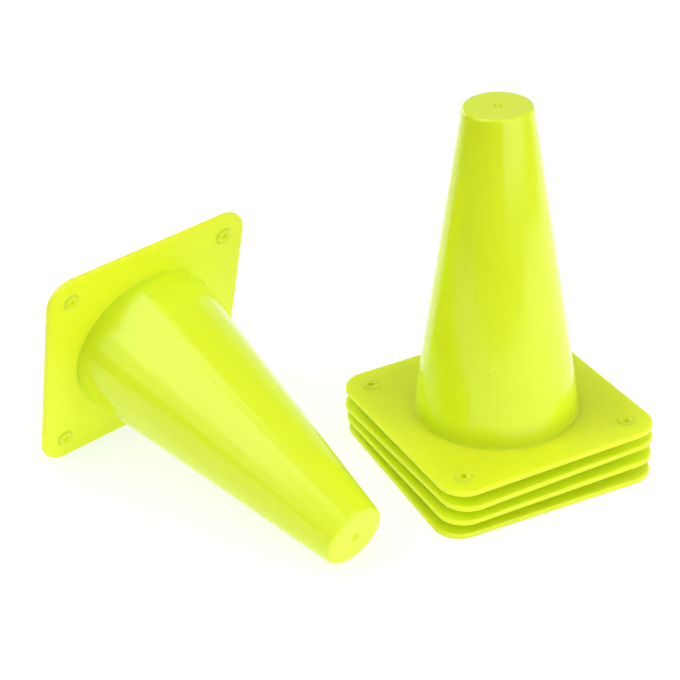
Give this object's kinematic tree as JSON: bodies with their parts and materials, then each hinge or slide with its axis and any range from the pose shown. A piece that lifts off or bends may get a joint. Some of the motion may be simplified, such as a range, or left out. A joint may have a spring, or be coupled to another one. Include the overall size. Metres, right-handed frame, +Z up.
{
  "type": "marker cone set",
  "caption": "Set of square-based plastic marker cones for sports: a nested stack, with a loose cone lying beside it that tips up to stand.",
  "frame": {"origin": "centre of the bottom cone's flat underside, on the floor", "axes": "+Z up along the stack's axis; +X and +Y along the sides of the bottom cone's square base; the loose cone lies on the -X side of the stack, pointing mostly towards -Y"},
  "size_m": [0.2976, 0.2102, 0.2076],
  "materials": {
    "neon_plastic": "gloss"
  },
  "bodies": {
    "bottom_cone": {"bottom_cone": "neon_plastic"},
    "second_cone": {"second_cone": "neon_plastic"},
    "third_cone": {"third_cone": "neon_plastic"},
    "top_cone": {"top_cone": "neon_plastic"},
    "lying_cone": {"lying_cone": "neon_plastic"}
  },
  "joints": [
    {"name": "second_cone_lift", "type": "slide", "parent": "bottom_cone", "child": "second_cone", "axis": [0, 0, 1], "range_m": [0, 0.18]},
    {"name": "third_cone_lift", "type": "slide", "parent": "second_cone", "child": "third_cone", "axis": [0, 0, 1], "range_m": [0, 0.18]},
    {"name": "top_cone_lift", "type": "slide", "parent": "third_cone", "child": "top_cone", "axis": [0, 0, 1], "range_m": [0, 0.18]},
    {"name": "lying_cone_tip_up", "type": "hinge", "parent": "bottom_cone", "child": "lying_cone", "pos_m": [-0.16845, 0.12489, 0.00116], "axis": [-0.9563, -0.2924, 0], "range_deg": [0, 104.87]}
  ]
}
